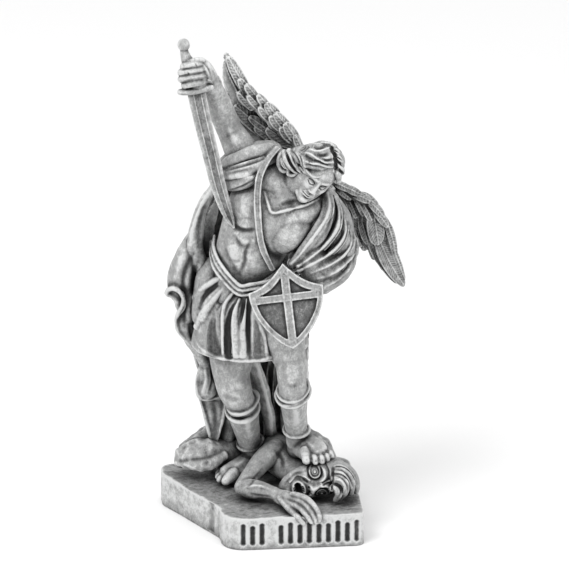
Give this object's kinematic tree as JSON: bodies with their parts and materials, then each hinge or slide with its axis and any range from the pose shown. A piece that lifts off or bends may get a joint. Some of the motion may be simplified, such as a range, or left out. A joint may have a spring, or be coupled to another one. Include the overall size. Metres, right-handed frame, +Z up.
{
  "type": "archangel michael statue",
  "caption": "Small cast statuette of a winged figure with raised sword and shield, one foot on a fallen demon's head, on a low shaped plinth.",
  "frame": {"origin": "middle of the plinth's flat underside", "axes": "+Z up, -Y towards the viewer through the plinth's inscribed front face, +X to the viewer's right"},
  "size_m": [0.0486, 0.0326, 0.1055],
  "materials": {
    "antique_grey": "cast resin painted to look like pewter: light grey on the raised forms, a dark wash in every recess, satin"
  },
  "bodies": {
    "root": {"statue": "antique_grey"}
  },
  "joints": []
}
